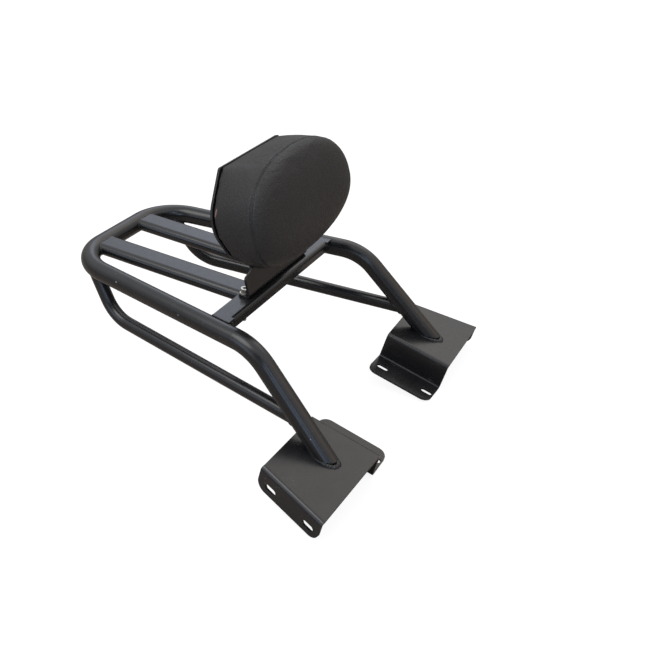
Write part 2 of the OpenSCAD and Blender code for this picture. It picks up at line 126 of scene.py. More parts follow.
# Small marks of the coat and the vinyl: place and radius in metres, stretch and colour
COAT_MARKS = [
    ((-0.1198, 0.3256, 0.1090), 0.0009, (1, 1, 1), (0.28, 0.28, 0.29)),
    ((-0.1381, 0.2189, 0.1071), 0.0011, (1, 0.6, 1), (0.07, 0.07, 0.075)),
    ((-0.1423, 0.1803, 0.1117), 0.0007, (1, 1, 1), (0.07, 0.07, 0.075)),
    ((-0.1662, 0.0162, 0.0242), 0.0008, (0.7, 1.8, 1), (0.25, 0.28, 0.36))]
PAD_MARKS = [
    ((-0.1015, 0.1900, 0.2351), 0.0042, (1, 2.2, 0.6), (0.17, 0.10, 0.09)),
    ((0.0108, 0.1202, 0.2367), 0.0040, (0.5, 2.0, 0.8), (0.030, 0.030, 0.032))]


def placed(point):
    """A point of the rack's source, in the row frame in metres."""
    return (Vector(point) + FEET) * MM


def on_upright(across, height, depth):
    """A point in the backrest's own frame: across, up the bracket and out of its front face."""
    return placed((across, BRACKET_Y + height * math.sin(LEAN) - depth * math.cos(LEAN),
                   CROSS_TOP + height * math.cos(LEAN) + depth * math.sin(LEAN)))


UPRIGHT_OUT = Vector((0, -math.cos(LEAN), math.sin(LEAN)))


class RackSizes(bpy.types.PropertyGroup):
    pad_voxel: FloatProperty(name="Pad voxel", description="Voxel size of the pad before it is swollen",
                             default=0.0045, min=0.003, max=0.01, subtype="DISTANCE", unit="LENGTH")
    pad_inset: FloatProperty(name="Pad inset", description="How much smaller the pad starts",
                             default=0.002, min=0.0, max=0.006, subtype="DISTANCE", unit="LENGTH")
    pad_pressure: FloatProperty(name="Pad pressure", description="Pressure that swells the pad's cover",
                                default=4.0, min=0.0, max=10.0)
    pad_move: FloatProperty(name="Most swelling", description="The furthest that a point of the cover moves",
                            default=0.005, min=0.001, max=0.016, subtype="DISTANCE", unit="LENGTH")
    seam_depth: FloatProperty(name="Seam depth", description="Depth of the groove at the front seam",
                              default=0.0015, min=0.0, max=0.003, subtype="DISTANCE", unit="LENGTH")
    stitch_pitch: FloatProperty(name="Stitch pitch", description="Distance from one stitch to the next",
                                default=0.0042, min=0.002, max=0.01, subtype="DISTANCE", unit="LENGTH")
    stitch_length: FloatProperty(name="Stitch length", description="Length of one stitch",
                                 default=0.0026, min=0.001, max=0.008, subtype="DISTANCE", unit="LENGTH")
    stitch_thickness: FloatProperty(name="Thread thickness", description="Thickness of the sewing thread",
                                    default=0.0006, min=0.0003, max=0.002, subtype="DISTANCE", unit="LENGTH")
    weld_half: FloatProperty(name="Weld half width", description="Half width of a weld bead",
                             default=0.0028, min=0.001, max=0.006, subtype="DISTANCE", unit="LENGTH")
    weld_ripple: FloatProperty(name="Weld ripple", description="Distance between the ripples of a weld bead",
                               default=0.0016, min=0.0008, max=0.004, subtype="DISTANCE", unit="LENGTH")
    thread_pitch: FloatProperty(name="Thread pitch", description="Pitch of the bolts' threads",
                                default=0.001, min=0.0005, max=0.002, subtype="DISTANCE", unit="LENGTH")
    seed: IntProperty(name="Seed", description="Seed of every random choice", default=7, min=0)


class RackColours(bpy.types.PropertyGroup):
    paint: FloatVectorProperty(name="Powder coat", description="Colour of the black powder coat", size=3,
                               default=(0.008, 0.008, 0.0085), min=0, max=1, subtype="COLOR")
    vinyl: FloatVectorProperty(name="Vinyl", description="Colour of the pad's vinyl", size=3,
                               default=(0.0145, 0.0141, 0.0141), min=0, max=1, subtype="COLOR")
    thread: FloatVectorProperty(name="Thread", description="Colour of the sewing thread", size=3,
                                default=(0.008, 0.008, 0.008), min=0, max=1, subtype="COLOR")
    zinc: FloatVectorProperty(name="Zinc", description="Colour of the zinc-plated fasteners", size=3,
                              default=(0.52, 0.50, 0.455), min=0, max=1, subtype="COLOR")
    wood: FloatVectorProperty(name="Plywood", description="Colour of the base board", size=3,
                              default=(0.46, 0.30, 0.16), min=0, max=1, subtype="COLOR")
    floor: FloatVectorProperty(name="Floor", description="Colour of the floor", size=3,
                               default=(0.86, 0.86, 0.86), min=0, max=1, subtype="COLOR")


# Shader nodes
def feed(tree, socket, value):
    if isinstance(value, bpy.types.NodeSocket):
        tree.links.new(value, socket)
    else:
        socket.default_value = value


def fill(tree, made, inputs):
    for key, value in dict(inputs).items():
        feed(tree, made.inputs[key], value)


def node(tree, kind, inputs=(), **settings):
    made = tree.nodes.new(kind)
    for name, value in settings.items():
        setattr(made, name, value)
    fill(tree, made, inputs)
    return made


def calc(tree, operation, a, b=0.0, clamp=False):
    return node(tree, "ShaderNodeMath", {0: a, 1: b}, operation=operation, use_clamp=clamp).outputs[0]


def blend(tree, factor, a, b):
    """Mixes two colours."""
    made = node(tree, "ShaderNodeMix", data_type="RGBA")
    feed(tree, made.inputs["Factor"], factor)
    for socket, value in ((made.inputs[6], a), (made.inputs[7], b)):
        feed(tree, socket, value if isinstance(value, bpy.types.NodeSocket) else (*value[:3], 1))
    return made.outputs[2]


def remap(tree, value, low, high, to_low=0.0, to_high=1.0):
    return node(tree, "ShaderNodeMapRange", {"Value": value, "From Min": low, "From Max": high, "To Min": to_low,
                                             "To Max": to_high}, interpolation_type="SMOOTHSTEP").outputs["Result"]


def noise(tree, place, scale, detail=3.0, rough=0.5):
    return node(tree, "ShaderNodeTexNoise", {"Vector": place, "Scale": scale, "Detail": detail,
                                             "Roughness": rough}).outputs["Fac"]


def bumps(tree, strength, distance, height, **under):
    """The normal of a surface with a height laid over it."""
    return node(tree, "ShaderNodeBump", {"Strength": strength, "Distance": distance, "Height": height,
                                         **under}).outputs["Normal"]


def shader_group(name, inputs, outputs):
    """An empty node group with named inputs (name, kind, default) and outputs (name, kind)."""
    tree = bpy.data.node_groups.new(name, "ShaderNodeTree")
    for label, kind, default in inputs:
        socket = tree.interface.new_socket(label, in_out="INPUT", socket_type=kind)
        if default is not None:
            socket.default_value = default
    for label, kind in outputs:
        tree.interface.new_socket(label, in_out="OUTPUT", socket_type=kind)
    return tree, tree.nodes.new("NodeGroupInput").outputs, tree.nodes.new("NodeGroupOutput").inputs


def edge_wear_group():
    """Mask of the sheet and tube edges where the coat is rubbed thin."""
    tree, given, out = shader_group("Edge Wear", [
        ("Vector", "NodeSocketVector", None), ("Radius", "NodeSocketFloat", 0.0012),
        ("Breakup", "NodeSocketFloat", 180.0), ("Amount", "NodeSocketFloat", 0.5)], [("Mask", "NodeSocketFloat")])
    soft = node(tree, "ShaderNodeBevel", {"Radius": given["Radius"]}, samples=4)
    sharp = node(tree, "ShaderNodeNewGeometry")
    same = node(tree, "ShaderNodeVectorMath", {0: soft.outputs["Normal"], 1: sharp.outputs["Normal"]},
                operation="DOT_PRODUCT").outputs["Value"]
    edge = remap(tree, same, 0.995, 0.90)
    patchy = remap(tree, noise(tree, given["Vector"], given["Breakup"], 4.0, 0.6), 0.42, 0.64)
    worn = calc(tree, "MULTIPLY", calc(tree, "MULTIPLY", edge, patchy), given["Amount"], clamp=True)
    feed(tree, out["Mask"], worn)
    return tree


def dust_group():
    """Mask of the fine dust that lies on what faces up."""
    tree, given, out = shader_group("Dust", [
        ("Vector", "NodeSocketVector", None), ("Breakup", "NodeSocketFloat", 40.0),
        ("Amount", "NodeSocketFloat", 0.3)], [("Mask", "NodeSocketFloat")])
    normal = node(tree, "ShaderNodeSeparateXYZ", {0: node(tree, "ShaderNodeNewGeometry").outputs["Normal"]})
    up = remap(tree, normal.outputs["Z"], 0.2, 1.0)
    patchy = remap(tree, noise(tree, given["Vector"], given["Breakup"], 5.0, 0.65), 0.3, 0.75)
    feed(tree, out["Mask"], calc(tree, "MULTIPLY", calc(tree, "MULTIPLY", up, patchy), given["Amount"], clamp=True))
    return tree


def grain_group():
    """Height of a fine pebbled skin, from the orange peel of paint to the grain of vinyl."""
    tree, given, out = shader_group("Fine Grain", [
        ("Vector", "NodeSocketVector", None), ("Cells", "NodeSocketFloat", 900.0),
        ("Waves", "NodeSocketFloat", 90.0), ("Cell Share", "NodeSocketFloat", 0.6)], [
        ("Height", "NodeSocketFloat"), ("Tone", "NodeSocketFloat")])
    cells = node(tree, "ShaderNodeTexVoronoi", {"Vector": given["Vector"], "Scale": given["Cells"],
                                                "Smoothness": 0.7}, feature="SMOOTH_F1").outputs["Distance"]
    waves = noise(tree, given["Vector"], given["Waves"], 4.0, 0.6)
    share = given["Cell Share"]
    height = calc(tree, "ADD", calc(tree, "MULTIPLY", cells, share),
                  calc(tree, "MULTIPLY", waves, calc(tree, "SUBTRACT", 1.0, share)))
    feed(tree, out["Height"], height)
    feed(tree, out["Tone"], waves)
    return tree


def spot_group():
    """Mask of one small ragged spot round a place on the surface."""
    tree, given, out = shader_group("Spot", [
        ("Vector", "NodeSocketVector", None), ("Place", "NodeSocketVector", None),
        ("Radius", "NodeSocketFloat", 0.002), ("Stretch", "NodeSocketVector", (1.0, 1.0, 1.0))],
        [("Mask", "NodeSocketFloat")])
    off = node(tree, "ShaderNodeVectorMath", {0: given["Vector"], 1: given["Place"]}, operation="SUBTRACT")
    off = node(tree, "ShaderNodeVectorMath", {0: off.outputs[0], 1: given["Stretch"]}, operation="MULTIPLY")
    far = node(tree, "ShaderNodeVectorMath", {0: off.outputs[0]}, operation="LENGTH").outputs["Value"]
    ragged = calc(tree, "MULTIPLY", noise(tree, given["Vector"], 700.0, 2.0), given["Radius"])
    share = calc(tree, "DIVIDE", calc(tree, "ADD", far, ragged), given["Radius"])
    feed(tree, out["Mask"], remap(tree, share, 1.5, 1.2))
    return tree


def scratch_group():
    """Mask of sparse hairline scratches."""
    tree, given, out = shader_group("Hairlines", [
        ("Vector", "NodeSocketVector", None), ("Scale", "NodeSocketFloat", 60.0),
        ("Amount", "NodeSocketFloat", 0.4)], [("Mask", "NodeSocketFloat")])
    masks = []
    for turn in ((0.3, 0.9, 0.2), (1.1, -0.4, 0.8)):
        mapped = node(tree, "ShaderNodeMapping", {"Vector": given["Vector"], "Rotation": turn,
                                                  "Scale": (1.0, 0.05, 0.6)}).outputs[0]
        masks.append(remap(tree, noise(tree, mapped, calc(tree, "MULTIPLY", given["Scale"], 14.0), 1.0), 0.735, 0.76))
    both = calc(tree, "MAXIMUM", masks[0], masks[1])
    patchy = remap(tree, noise(tree, given["Vector"], 22.0, 2.0), 0.5, 0.62)
    feed(tree, out["Mask"], calc(tree, "MULTIPLY", calc(tree, "MULTIPLY", both, patchy), given["Amount"]))
    return tree


GROUP_MAKERS = {"Edge Wear": edge_wear_group, "Dust": dust_group, "Fine Grain": grain_group, "Spot": spot_group,
                "Hairlines": scratch_group}


def use_group(tree, name, inputs):
    """Places a shared group, which is built the first time."""
    made = tree.nodes.new("ShaderNodeGroup")
    made.node_tree = bpy.data.node_groups.get(name) or GROUP_MAKERS[name]()
    fill(tree, made, inputs)
    return made.outputs


def new_material(name):
    """(material, tree, Principled BSDF, Object coordinates)"""
    old = bpy.data.materials.get(name)
    if old:
        bpy.data.materials.remove(old)
    material = bpy.data.materials.new(name)
    material.use_nodes = True
    tree = material.node_tree
    place = node(tree, "ShaderNodeTexCoord").outputs["Object"]
    return material, tree, tree.nodes["Principled BSDF"], place


def with_marks(tree, place, colour, marks):
    for at, radius, stretch, tint in marks:
        spot = use_group(tree, "Spot", {"Vector": place, "Place": at, "Radius": radius, "Stretch": stretch})["Mask"]
        colour = blend(tree, spot, colour, tint)
    return colour


def powder_coat(colours, name="Powder Coat"):
    material, tree, shader, place = new_material(name)
    tone = remap(tree, noise(tree, place, 25.0, 5.0, 0.6), 0.25, 0.75)
    coat = Vector(colours.paint)
    colour = blend(tree, tone, coat * 0.85, coat * 1.2)
    dust = use_group(tree, "Dust", {"Vector": place, "Breakup": 30.0, "Amount": 0.05})["Mask"]
    colour = blend(tree, dust, colour, (0.10, 0.105, 0.12))
    hair = use_group(tree, "Hairlines", {"Vector": place, "Scale": 60.0, "Amount": 0.5})["Mask"]
    colour = blend(tree, hair, colour, (0.12, 0.12, 0.125))
    worn = use_group(tree, "Edge Wear", {"Vector": place, "Radius": 0.0009, "Breakup": 240.0, "Amount": 0.05})["Mask"]
    colour = blend(tree, worn, colour, (0.16, 0.155, 0.15))
    colour = with_marks(tree, place, colour, COAT_MARKS)
    rough = remap(tree, noise(tree, place, 140.0, 4.0), 0.3, 0.7, 0.235, 0.27)
    rough = calc(tree, "ADD", rough, calc(tree, "MULTIPLY", dust, 0.35), clamp=True)
    peel = use_group(tree, "Fine Grain", {"Vector": place, "Cells": 1400.0, "Waves": 420.0, "Cell Share": 0.5})
    rounded = node(tree, "ShaderNodeBevel", {"Radius": 0.0007}, samples=4).outputs["Normal"]
    fill(tree, shader, {"Base Color": colour, "Roughness": rough, "Specular IOR Level": 0.45,
                        "Normal": bumps(tree, 0.04, 0.0001, peel["Height"], Normal=rounded)})
    return material


def zinc_plate(colours):
    material, tree, shader, place = new_material("Zinc Plate")
    tone = noise(tree, place, 300.0, 4.0, 0.6)
    zinc = Vector(colours.zinc)
    colour = blend(tree, tone, zinc * 0.75, zinc * 1.1)
    dull = remap(tree, noise(tree, place, 90.0, 5.0, 0.7), 0.5, 0.72)
    colour = blend(tree, calc(tree, "MULTIPLY", dull, 0.45), colour, (0.30, 0.27, 0.21))
    turned = node(tree, "ShaderNodeMapping", {"Vector": place, "Scale": (1.0, 1.0, 9.0)}).outputs[0]
    fill(tree, shader, {"Base Color": colour, "Metallic": 1.0, "Roughness": remap(tree, tone, 0.3, 0.7, 0.26, 0.44),
                        "Normal": bumps(tree, 0.2, 0.0002, noise(tree, turned, 350.0, 3.0))})
    return material


def plywood(colours):
    material, tree, shader, place = new_material("Plywood")
    turned = node(tree, "ShaderNodeMapping", {"Vector": place, "Rotation": (math.radians(-72), 0, 0)}).outputs[0]
    stretched = node(tree, "ShaderNodeMapping", {"Vector": turned, "Scale": (1.0, 12.0, 12.0)}).outputs[0]
    grain = noise(tree, stretched, 30.0, 6.0, 0.6)
    depth = node(tree, "ShaderNodeSeparateXYZ", {0: turned}).outputs["Z"]
    plies = remap(tree, calc(tree, "SINE", calc(tree, "MULTIPLY", depth, 2400.0)), -0.4, 0.4)
    wood = Vector(colours.wood)
    colour = blend(tree, remap(tree, grain, 0.35, 0.65), wood * 0.7, wood * 1.15)
    colour = blend(tree, calc(tree, "MULTIPLY", plies, 0.35), colour, wood * 0.45)
    fill(tree, shader, {"Base Color": colour, "Roughness": remap(tree, grain, 0.2, 0.8, 0.6, 0.85),
                        "Normal": bumps(tree, 0.3, 0.0003, grain)})
    return material


def vinyl(colours):
    material, tree, shader, place = new_material("Vinyl")
    skin = use_group(tree, "Fine Grain", {"Vector": place, "Cells": 560.0, "Waves": 210.0, "Cell Share": 0.8})
    creases = use_group(tree, "Hairlines", {"Vector": place, "Scale": 26.0, "Amount": 0.35})["Mask"]
    tone = remap(tree, noise(tree, place, 14.0, 5.0, 0.6), 0.3, 0.7)
    base = Vector(colours.vinyl)
    colour = blend(tree, tone, base * 0.88, base * 1.12)
    colour = blend(tree, calc(tree, "MULTIPLY", remap(tree, skin["Height"], 0.2, 0.6), 0.5), colour, base * 1.5)
    colour = blend(tree, creases, colour, base * 2.2)
    dust = use_group(tree, "Dust", {"Vector": place, "Breakup": 26.0, "Amount": 0.10})["Mask"]
    colour = blend(tree, dust, colour, (0.10, 0.10, 0.10))
    colour = with_marks(tree, place, colour, PAD_MARKS)
    folds = noise(tree, place, 32.0, 3.0, 0.5)
    height = calc(tree, "ADD", skin["Height"], calc(tree, "MULTIPLY", folds, 0.9))
    fill(tree, shader, {"Base Color": colour, "Roughness": remap(tree, skin["Tone"], 0.3, 0.7, 0.46, 0.56),
                        "Normal": bumps(tree, 0.95, 0.0008, height), "Specular IOR Level": 0.3})
    return material


def sewing_thread(colours):
    material, tree, shader, place = new_material("Sewing Thread")
    twist = noise(tree, place, 2600.0, 2.0)
    thread = Vector(colours.thread)
    fill(tree, shader, {"Base Color": blend(tree, twist, thread * 0.7, thread * 2.2),
                        "Roughness": remap(tree, twist, 0.2, 0.8, 0.55, 0.75),
                        "Normal": bumps(tree, 0.5, 0.0002, twist)})
    return material


def give_material(names, material):
    for name in names:
        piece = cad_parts[name]
        if not piece.material_slots:
            piece.data.materials.append(material)
        for slot in piece.material_slots:
            slot.material = material


# Pieces
def new_piece(name, vertices, faces=(), edges=()):
    old = bpy.data.objects.get(name)
    if old:
        bpy.data.objects.remove(old)
    mesh = bpy.data.meshes.new(name)
    mesh.from_pydata([tuple(v) for v in vertices], list(edges), list(faces))
    mesh.update()
    piece = bpy.data.objects.new(name, mesh)
    bpy.context.scene.collection.objects.link(piece)
    return piece


def apply_modifiers(piece):
    """Turns what the modifiers make into the piece's own mesh."""
    made = bpy.data.meshes.new_from_object(piece.evaluated_get(bpy.context.evaluated_depsgraph_get()))
    piece.modifiers.clear()
    old, piece.data = piece.data, made
    bpy.data.meshes.remove(old)
    return piece


def geometry_tree(name, inputs):
    """A Geometry Nodes tree with named inputs (name, kind, default): (tree, input sockets)."""
    tree = bpy.data.node_groups.new(name, "GeometryNodeTree")
    tree.interface.new_socket("Geometry", in_out="INPUT", socket_type="NodeSocketGeometry")
    for label, kind, default in inputs:
        socket = tree.interface.new_socket(label, in_out="INPUT", socket_type=kind)
        if default is not None:
            socket.default_value = default
    tree.interface.new_socket("Geometry", in_out="OUTPUT", socket_type="NodeSocketGeometry")
    return tree, tree.nodes.new("NodeGroupInput").outputs


def close_tree(tree, geometry, material):
    """Ends a tree in Realize Instances, smooth shading and Set Material."""
    real = node(tree, "GeometryNodeRealizeInstances", {"Geometry": geometry}).outputs[0]
    smooth = node(tree, "GeometryNodeSetShadeSmooth", {"Geometry": real}).outputs[0]
    done = node(tree, "GeometryNodeSetMaterial", {"Geometry": smooth, "Material": material}).outputs[0]
    tree.links.new(done, tree.nodes.new("NodeGroupOutput").inputs[0])


def follow_tree(name):
    """Beads or stitches along a path: its points hold up, the way out of the surface, and size."""
    tree, given = geometry_tree(name, [
        ("Pitch", "NodeSocketFloat", 0.002), ("Half Length", "NodeSocketFloat", 0.001),
        ("Half Width", "NodeSocketFloat", 0.001), ("Half Height", "NodeSocketFloat", 0.001),
        ("Unevenness", "NodeSocketFloat", 0.1), ("Seed", "NodeSocketInt", 1),
        ("Material", "NodeSocketMaterial", None)])
    path = node(tree, "GeometryNodeMeshToCurve", {"Mesh": given["Geometry"]}).outputs[0]
    path = node(tree, "GeometryNodeResampleCurve", {"Curve": path, "Length": given["Pitch"]},
                mode="LENGTH").outputs[0]
    up = node(tree, "GeometryNodeInputNamedAttribute", {"Name": "up"}, data_type="FLOAT_VECTOR").outputs["Attribute"]
    size = node(tree, "GeometryNodeInputNamedAttribute", {"Name": "size"}, data_type="FLOAT").outputs["Attribute"]
    along = node(tree, "GeometryNodeInputTangent").outputs[0]
    turn = node(tree, "FunctionNodeAxesToRotation", {"Primary Axis": up, "Secondary Axis": along},
                primary_axis="Z", secondary_axis="X").outputs[0]
    uneven = node(tree, "FunctionNodeRandomValue", {
        2: calc(tree, "SUBTRACT", 1.0, given["Unevenness"]), 3: calc(tree, "ADD", 1.0, given["Unevenness"]),
        "Seed": given["Seed"]}, data_type="FLOAT").outputs[1]
    halves = (given["Half Length"], calc(tree, "MULTIPLY", given["Half Width"], size),
              calc(tree, "MULTIPLY", given["Half Height"], size))
    scale = node(tree, "ShaderNodeCombineXYZ",
                 {axis: calc(tree, "MULTIPLY", half, uneven) for axis, half in zip("XYZ", halves)}).outputs[0]
    bead = node(tree, "GeometryNodeMeshUVSphere", {"Segments": 10, "Rings": 6, "Radius": 1.0}).outputs["Mesh"]
    beads = node(tree, "GeometryNodeInstanceOnPoints", {"Points": path, "Instance": bead, "Rotation": turn,
                                                        "Scale": scale}).outputs[0]
    close_tree(tree, beads, given["Material"])
    return tree


def helix_tree():
    """A helical ridge at each point: its place is the lower end of the thread."""
    tree, given = geometry_tree("Screw Thread", [
        ("Pitch", "NodeSocketFloat", 0.001), ("Radius", "NodeSocketFloat", 0.003),
        ("Length", "NodeSocketFloat", 0.02), ("Ridge", "NodeSocketFloat", 0.0003),
        ("Material", "NodeSocketMaterial", None)])
    spiral = node(tree, "GeometryNodeCurveSpiral", {
        "Resolution": 24, "Rotations": calc(tree, "DIVIDE", given["Length"], given["Pitch"]),
        "Start Radius": given["Radius"], "End Radius": given["Radius"], "Height": given["Length"]}).outputs[0]
    ridge = node(tree, "GeometryNodeCurvePrimitiveCircle", {"Resolution": 5, "Radius": given["Ridge"]}).outputs[0]
    thread = node(tree, "GeometryNodeCurveToMesh", {"Curve": spiral, "Profile Curve": ridge,
                                                    "Fill Caps": True}).outputs[0]
    threads = node(tree, "GeometryNodeInstanceOnPoints", {"Points": given["Geometry"], "Instance": thread}).outputs[0]
    close_tree(tree, threads, given["Material"])
    return tree


def grow(piece, tree, values):
    """Runs a tree on a piece with its inputs set, and keeps the plain mesh."""
    bpy.context.scene.collection.objects.unlink(piece)
    grown = piece.modifiers.new(tree.name, "NODES")
    grown.node_group = tree
    for socket in tree.interface.items_tree:
        if socket.in_out == "INPUT" and socket.name in values:
            grown[socket.identifier] = values[socket.name]
    bpy.context.scene.collection.objects.link(piece)
    bpy.context.view_layer.update()
    apply_modifiers(piece)
    if not piece.data.polygons:
        raise RuntimeError(f"{piece.name} came out empty")
    return piece


def path_piece(name, paths):
    """A piece of open or closed paths, each (points with the way out and size, closed)."""
    points, ups, sizes, edges = [], [], [], []
    for path, closed in paths:
        first = len(points)
        for at, up, size in path:
            points.append(at)
            ups.append(Vector(up).normalized())
            sizes.append(size)
        edges += [(i, i + 1) for i in range(first, len(points) - 1)]
        if closed:
            edges.append((len(points) - 1, first))
    piece = new_piece(name, points, edges=edges)
    up = piece.data.attributes.new("up", "FLOAT_VECTOR", "POINT")
    up.data.foreach_set("vector", np.array(ups, np.float32).ravel())
    size = piece.data.attributes.new("size", "FLOAT", "POINT")
    size.data.foreach_set("value", np.array(sizes, np.float32))
    return piece


# The backrest pad
def rounded_outline(corners, steps=8):
    """Points of a closed outline with each corner (x, y, radius) rounded."""
    points, count = [], len(corners)
    for i, (x, y, radius) in enumerate(corners):
        here = Vector((x, y))
        back = (Vector(corners[i - 1][:2]) - here).normalized()
        ahead = (Vector(corners[(i + 1) % count][:2]) - here).normalized()
        half = back.angle(ahead) / 2
        centre = here + (back + ahead).normalized() * radius / math.sin(half)
        start = here + back * radius / math.tan(half) - centre
        side = -1 if back.x * ahead.y - back.y * ahead.x > 0 else 1
        for k in range(steps + 1):
            turn = side * (math.pi - 2 * half) * k / steps
            points.append(centre + Vector((start.x * math.cos(turn) - start.y * math.sin(turn),
                                           start.x * math.sin(turn) + start.y * math.cos(turn))))
    return points


def ray_to(outline, middle, angle):
    """Where a ray from the middle leaves a closed outline."""
    way = Vector((math.cos(angle), math.sin(angle)))
    best = 0.0
    for a, b in zip(outline, outline[1:] + outline[:1]):
        edge = b - a
        cross = way.x * edge.y - way.y * edge.x
        if abs(cross) > 1e-9:
            gap = a - middle
            along = (gap.x * edge.y - gap.y * edge.x) / cross
            share = (gap.x * way.y - gap.y * way.x) / cross
            if along > 0 and -1e-6 <= share <= 1 + 1e-6:
                best = max(best, along)
    return middle + way * best


def oval_at(angle, inset=0.0):
    """A point of the front seam's oval, as (across, up) from its middle."""
    wide, high = SEAM_HALF - inset, SEAM_HIGH - inset
    reach = ((abs(math.cos(angle)) / wide) ** OVAL_POWER + (abs(math.sin(angle)) / high) ** OVAL_POWER)
    reach = reach ** (-1 / OVAL_POWER)
    return reach * math.cos(angle), reach * math.sin(angle)


def seam_point(angle, inset=0.0, share=1.0, rise=0.0):
    across, up = (share * value for value in oval_at(angle, inset))
    depth = PAD_DEPTH - inset + rise - PAD_DROP * (max(0.0, -up) / SEAM_HIGH) ** 2
    return across, PAD_MID + up, depth


def pad_rings(inset, count=120):
    """Rings of the pad from the middle of its back to the middle of its front, in its own frame."""
    mirrored = [(-x, y, r) for x, y, r in reversed(PAD_HALF)]
    outline = rounded_outline([(x, y, r) for x, y, r in PAD_HALF] + mirrored)
    middle = Vector((0, PAD_MID))
    angles = [2 * math.pi * i / count for i in range(count)]
    edge = [ray_to(outline, middle, a) for a in angles]
    edge = [middle + (p - middle) * (1 + PAD_FLARE / (p - middle).length) for p in edge]
    rings = [[(*(middle + (p - middle) * share), PAD_GAP) for p in edge] for share in (0.3, 0.7, 0.97)]
    steps = 12
    for k in range(steps + 1):
        share = k / steps
        ring = []
        for a, p in zip(angles, edge):
            x, y, depth = seam_point(a, inset)
            low = PAD_GAP + PAD_LIP
            bow = PAD_BOW * math.sin(math.pi * share)
            ring.append((p.x + (x - p.x) * share + bow * math.cos(a), p.y + (y - p.y) * share + bow * math.sin(a),
                         low + (depth - low) * share))
        rings.append(ring)
    for share in (0.997, 0.988, 0.97, 0.94, 0.9, 0.85, 0.78, 0.68, 0.54, 0.38, 0.22, 0.08):
        rise = PAD_BULGE * (1 - share ** 8) ** 0.5
        rings.append([seam_point(a, inset, share, rise) for a in angles])
    return rings


def lofted(name, rings):
    """A closed skin through rings of as many points, with a point at each end."""
    count = len(rings[0])
    points = [on_upright(*p) for ring in rings for p in ring]
    faces = []
    for r in range(len(rings) - 1):
        for i in range(count):
            j = (i + 1) % count
            faces.append((r * count + i, r * count + j, (r + 1) * count + j, (r + 1) * count + i))
    for ring, first in ((rings[0], 0), (rings[-1], (len(rings) - 1) * count)):
        points.append(on_upright(*(sum(p[k] for p in ring) / count for k in range(3))))
        centre = len(points) - 1
        for i in range(count):
            j = (i + 1) % count
            faces.append((centre, first + j, first + i) if first == 0 else (centre, first + i, first + j))
    return new_piece(name, points, faces)


def swell(piece, sizes):
    """Remeshes the piece evenly and swells it with Cloth, moving no point further than the cap."""
    scene = bpy.context.scene
    remesh = piece.modifiers.new("Even Mesh", "REMESH")
    remesh.mode = "VOXEL"
    remesh.voxel_size = sizes.pad_voxel
    apply_modifiers(piece)
    start = np.array([v.co for v in piece.data.vertices], float)
    out = np.array(UPRIGHT_OUT)
    depth = (start - np.array(on_upright(0, 0, 0))) @ out
    held = piece.vertex_groups.new(name="held")
    held.add([int(i) for i in np.nonzero(depth < PAD_HELD)[0]], 1.0, "REPLACE")
    cloth = piece.modifiers.new("Stuffing", "CLOTH")
    cloth.settings.quality = 6
    cloth.settings.mass = 0.3
    cloth.settings.tension_stiffness = 25
    cloth.settings.compression_stiffness = 25
    cloth.settings.shear_stiffness = 12
    cloth.settings.bending_stiffness = 3
    cloth.settings.use_pressure = True
    cloth.settings.uniform_pressure_force = sizes.pad_pressure
    cloth.settings.effector_weights.gravity = 0
    cloth.settings.vertex_group_mass = "held"
    cloth.collision_settings.use_collision = False
    cloth.point_cache.frame_start, cloth.point_cache.frame_end = 1, SWELL_FRAMES
    scene.frame_start, scene.frame_end = 1, SWELL_FRAMES
    for step in range(1, SWELL_FRAMES + 1):
        scene.frame_set(step)
    apply_modifiers(piece)
    scene.frame_set(1)
    after = np.array([v.co for v in piece.data.vertices], float)
    move = after - start
    length = np.linalg.norm(move, axis=1)
    move *= np.minimum(1, sizes.pad_move / np.maximum(length, 1e-9))[:, None]
    start = start + move
    piece.data.vertices.foreach_set("co", start.astype(np.float32).ravel())
    piece.vertex_groups.clear()
    piece.data.update()
    finer = piece.modifiers.new("Finer", "SUBSURF")
    finer.levels = finer.render_levels = 2
    apply_modifiers(piece)
    return piece


def seam_track(piece, count=640, inward=0.0):
    """Points along the front seam, set on the pad's skin: (place, way out)."""
    skin = BVHTree.FromObject(piece, bpy.context.evaluated_depsgraph_get())
    track = []
    for i in range(count):
        angle = 2 * math.pi * i / count
        x, y, depth = seam_point(angle, inward)
        near, normal, _, _ = skin.find_nearest(on_upright(x, y, depth + 1.0))
        track.append((near, normal))
    for _ in range(50):
        track = [((track[i - 1][0] + p * 2 + track[(i + 1) % count][0]) / 4,
                  (track[i - 1][1] + n * 2 + track[(i + 1) % count][1]).normalized())
                 for i, (p, n) in enumerate(track)]
    return track


def sink_seam(piece, track, depth):
    """Draws the skin in along the seam, with a low roll on both sides of the groove."""
    near = KDTree(len(track))
    for i, (at, _) in enumerate(track):
        near.insert(at, i)
    near.balance()
    mesh = piece.data
    for vertex in mesh.vertices:
        _, i, gap = near.find(vertex.co)
        if gap < GROOVE_REACH:
            uneven = 1 + 0.15 * math.sin(i * 0.11)
            groove = uneven * math.exp(-(gap / GROOVE_WIDTH) ** 2)
            roll = ROLL_SHARE * math.exp(-((gap - ROLL_AT) / ROLL_WIDTH) ** 2)
            vertex.co -= track[i][1] * depth * (groove - roll)
    mesh.update()


def clear_of_bracket(piece):
    """Lays the back of the pad flat, just clear of the bracket."""
    origin = on_upright(0, 0, 0)
    for vertex in piece.data.vertices:
        depth = (vertex.co - origin).dot(UPRIGHT_OUT)
        if depth < PAD_GAP * MM:
            vertex.co += UPRIGHT_OUT * (PAD_GAP * MM - depth)
    piece.data.update()


# Welds: distances from the bars that carry them, in the source's millimetres
def off_rear_bar(p):
    return math.hypot(p.y - RACK_LEN, p.z) - TUBE_R


